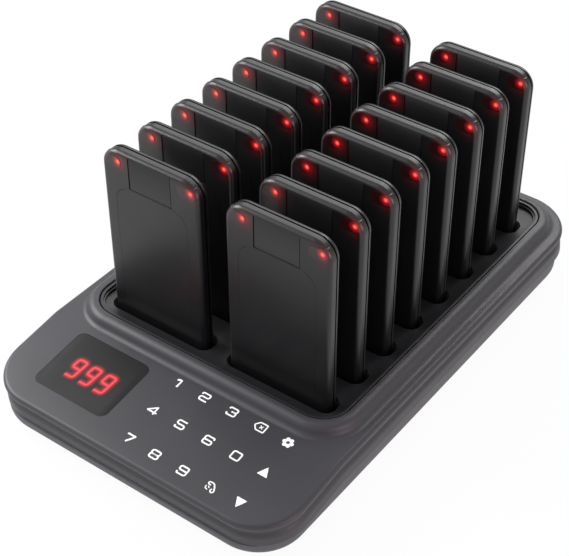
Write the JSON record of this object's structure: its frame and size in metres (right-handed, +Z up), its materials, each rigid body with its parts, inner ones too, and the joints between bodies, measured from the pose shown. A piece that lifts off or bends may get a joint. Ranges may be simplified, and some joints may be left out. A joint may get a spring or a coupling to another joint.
{
  "type": "guest pager system",
  "caption": "Charging base with a sloped keypad, a display window and a tray of slots, in which slim guest pagers with red corner lamps stand in two files.",
  "frame": {"origin": "middle of the base's footprint on the surface that the rubber feet stand on", "axes": "+X to the right of the user at the keypad, +Y to the rear, away from the keypad, +Z up along the pagers"},
  "size_m": [0.1648, 0.2628, 0.122],
  "materials": {
    "shell_grey": "soft-touch matte",
    "tray_black": "fine texture",
    "pager_front": "satin gloss",
    "pager_back": "fine texture",
    "lamp_red": "clear red, lit",
    "window_smoke": "smoked, polished",
    "display_red": "dark red",
    "board_green": "solder mask",
    "contact_gold": "gold plated",
    "foot_rubber": "matte",
    "screw_steel": "zinc plated",
    "antenna_copper": "enamelled wire"
  },
  "bodies": {
    "base": {"top_shell": "shell_grey", "bottom_shell": "shell_grey", "slot_tray": "tray_black", "display_window": "window_smoke", "display_module": "display_red", "keypad_board": "board_green", "charging_board": "board_green", "charge_contacts": "contact_gold", "rubber_feet": "foot_rubber", "case_screws": "screw_steel", "dc_jack": "tray_black", "antenna": "antenna_copper"},
    "pager_01": {"pager_01_front_cover": "pager_front", "pager_01_back_cover": "pager_back", "pager_01_core": "lamp_red"},
    "pager_02": {"pager_02_front_cover": "pager_front", "pager_02_back_cover": "pager_back", "pager_02_core": "lamp_red"},
    "pager_03": {"pager_03_front_cover": "pager_front", "pager_03_back_cover": "pager_back", "pager_03_core": "lamp_red"},
    "pager_04": {"pager_04_front_cover": "pager_front", "pager_04_back_cover": "pager_back", "pager_04_core": "lamp_red"},
    "pager_05": {"pager_05_front_cover": "pager_front", "pager_05_back_cover": "pager_back", "pager_05_core": "lamp_red"},
    "pager_06": {"pager_06_front_cover": "pager_front", "pager_06_back_cover": "pager_back", "pager_06_core": "lamp_red"},
    "pager_07": {"pager_07_front_cover": "pager_front", "pager_07_back_cover": "pager_back", "pager_07_core": "lamp_red"},
    "pager_08": {"pager_08_front_cover": "pager_front", "pager_08_back_cover": "pager_back", "pager_08_core": "lamp_red"},
    "pager_09": {"pager_09_front_cover": "pager_front", "pager_09_back_cover": "pager_back", "pager_09_core": "lamp_red"},
    "pager_10": {"pager_10_front_cover": "pager_front", "pager_10_back_cover": "pager_back", "pager_10_core": "lamp_red"},
    "pager_11": {"pager_11_front_cover": "pager_front", "pager_11_back_cover": "pager_back", "pager_11_core": "lamp_red"},
    "pager_12": {"pager_12_front_cover": "pager_front", "pager_12_back_cover": "pager_back", "pager_12_core": "lamp_red"},
    "pager_13": {"pager_13_front_cover": "pager_front", "pager_13_back_cover": "pager_back", "pager_13_core": "lamp_red"},
    "pager_14": {"pager_14_front_cover": "pager_front", "pager_14_back_cover": "pager_back", "pager_14_core": "lamp_red"},
    "pager_15": {"pager_15_front_cover": "pager_front", "pager_15_back_cover": "pager_back", "pager_15_core": "lamp_red"},
    "pager_16": {"pager_16_front_cover": "pager_front", "pager_16_back_cover": "pager_back", "pager_16_core": "lamp_red"}
  },
  "joints": [
    {"name": "pager_01_lift", "type": "slide", "parent": "base", "child": "pager_01", "axis": [0, 0, 1], "range_m": [0, 0.11]},
    {"name": "pager_02_lift", "type": "slide", "parent": "base", "child": "pager_02", "axis": [0, 0, 1], "range_m": [0, 0.11]},
    {"name": "pager_03_lift", "type": "slide", "parent": "base", "child": "pager_03", "axis": [0, 0, 1], "range_m": [0, 0.11]},
    {"name": "pager_04_lift", "type": "slide", "parent": "base", "child": "pager_04", "axis": [0, 0, 1], "range_m": [0, 0.11]},
    {"name": "pager_05_lift", "type": "slide", "parent": "base", "child": "pager_05", "axis": [0, 0, 1], "range_m": [0, 0.11]},
    {"name": "pager_06_lift", "type": "slide", "parent": "base", "child": "pager_06", "axis": [0, 0, 1], "range_m": [0, 0.11]},
    {"name": "pager_07_lift", "type": "slide", "parent": "base", "child": "pager_07", "axis": [0, 0, 1], "range_m": [0, 0.11]},
    {"name": "pager_08_lift", "type": "slide", "parent": "base", "child": "pager_08", "axis": [0, 0, 1], "range_m": [0, 0.11]},
    {"name": "pager_09_lift", "type": "slide", "parent": "base", "child": "pager_09", "axis": [0, 0, 1], "range_m": [0, 0.11]},
    {"name": "pager_10_lift", "type": "slide", "parent": "base", "child": "pager_10", "axis": [0, 0, 1], "range_m": [0, 0.11]},
    {"name": "pager_11_lift", "type": "slide", "parent": "base", "child": "pager_11", "axis": [0, 0, 1], "range_m": [0, 0.11]},
    {"name": "pager_12_lift", "type": "slide", "parent": "base", "child": "pager_12", "axis": [0, 0, 1], "range_m": [0, 0.11]},
    {"name": "pager_13_lift", "type": "slide", "parent": "base", "child": "pager_13", "axis": [0, 0, 1], "range_m": [0, 0.11]},
    {"name": "pager_14_lift", "type": "slide", "parent": "base", "child": "pager_14", "axis": [0, 0, 1], "range_m": [0, 0.11]},
    {"name": "pager_15_lift", "type": "slide", "parent": "base", "child": "pager_15", "axis": [0, 0, 1], "range_m": [0, 0.11]},
    {"name": "pager_16_lift", "type": "slide", "parent": "base", "child": "pager_16", "axis": [0, 0, 1], "range_m": [0, 0.11]}
  ]
}
